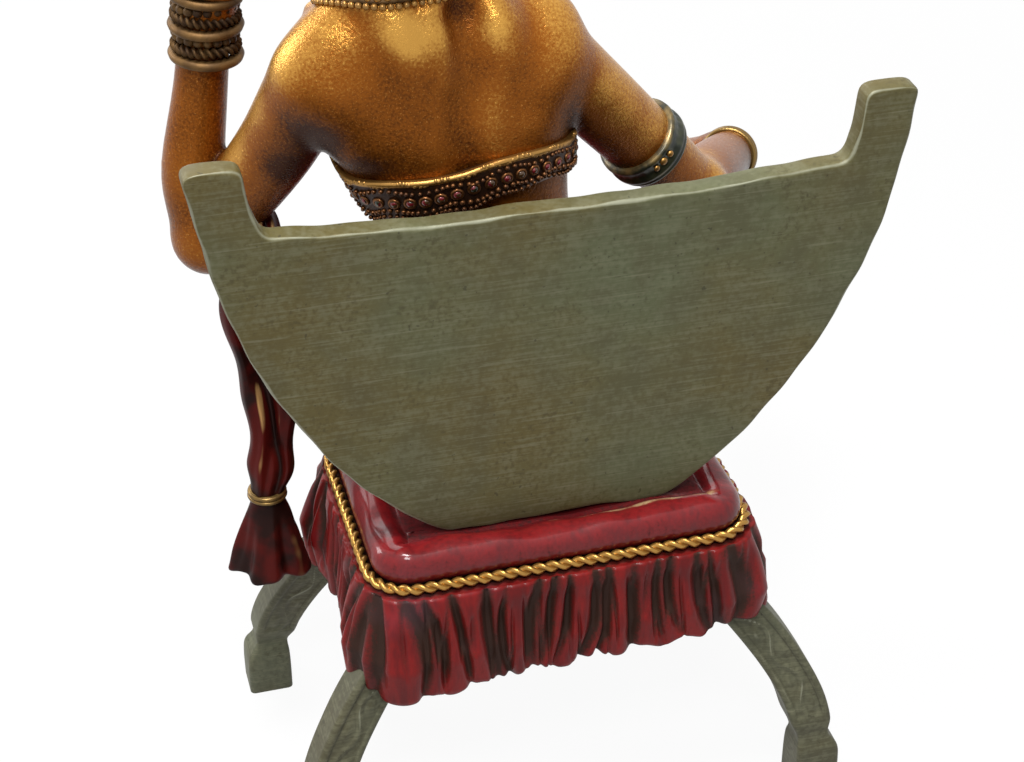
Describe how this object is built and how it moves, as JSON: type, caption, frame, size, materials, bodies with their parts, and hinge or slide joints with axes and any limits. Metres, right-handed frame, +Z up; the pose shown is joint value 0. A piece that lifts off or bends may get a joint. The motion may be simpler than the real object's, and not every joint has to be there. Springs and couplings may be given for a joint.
{
  "type": "seated figure statuette",
  "caption": "Small painted bronze ornament of a woman in dancer's dress seated on a low chair with a crescent-shaped back, to stand on a shelf or desk.",
  "frame": {"origin": "on the floor, under the middle of the bounding box", "axes": "+Z up, the figure faces -Y, the figure's left side is at +X"},
  "size_m": [0.15, 0.1348, 0.2497],
  "materials": {
    "gilded_skin": "satin gilding over bronze",
    "grey_green_patina": "brushed grey-green patina, worn pale at the edges",
    "deep_red_paint": "glossy red paint with a dark wash in the grooves",
    "bright_gold": "polished gilding",
    "dark_bronze": "dark brown bronze patina",
    "dark_hair": "satin dark paint",
    "steel": "plain"
  },
  "bodies": {
    "root": {"backrest": "grey_green_patina", "leg_front_left": "grey_green_patina", "leg_front_right": "grey_green_patina", "leg_rear_left": "grey_green_patina", "leg_rear_right": "grey_green_patina", "seat_base": "dark_bronze", "seat_cushion": "deep_red_paint", "seat_valance": "deep_red_paint", "seat_cord": "bright_gold", "torso": "gilded_skin", "head": "gilded_skin", "hair": "dark_hair", "arm_left": "gilded_skin", "hand_left": "gilded_skin", "upper_arm_right": "gilded_skin", "forearm_right": "gilded_skin", "hand_right": "gilded_skin", "foot_left": "gilded_skin", "foot_right": "gilded_skin", "skirt": "deep_red_paint", "bandeau": "dark_bronze", "girdle": "bright_gold", "necklace": "bright_gold", "bangles_left": "dark_bronze", "armlet_right": "dark_bronze", "bracelet_right": "bright_gold", "scarf": "deep_red_paint", "scarf_band": "bright_gold", "scarf_tassel": "deep_red_paint", "leg_screw_front_left": "steel", "leg_screw_front_right": "steel", "leg_screw_rear_left": "steel", "leg_screw_rear_right": "steel", "backrest_screw_left": "steel", "backrest_screw_right": "steel", "figure_screw_left": "steel", "figure_screw_right": "steel", "waist_pin": "steel", "neck_pin": "steel", "shoulder_pin_left": "steel", "shoulder_pin_right": "steel", "wrist_pin_left": "steel", "wrist_pin_right": "steel", "elbow_pin_right": "steel", "ankle_pin_left": "steel", "ankle_pin_right": "steel"}
  },
  "joints": []
}
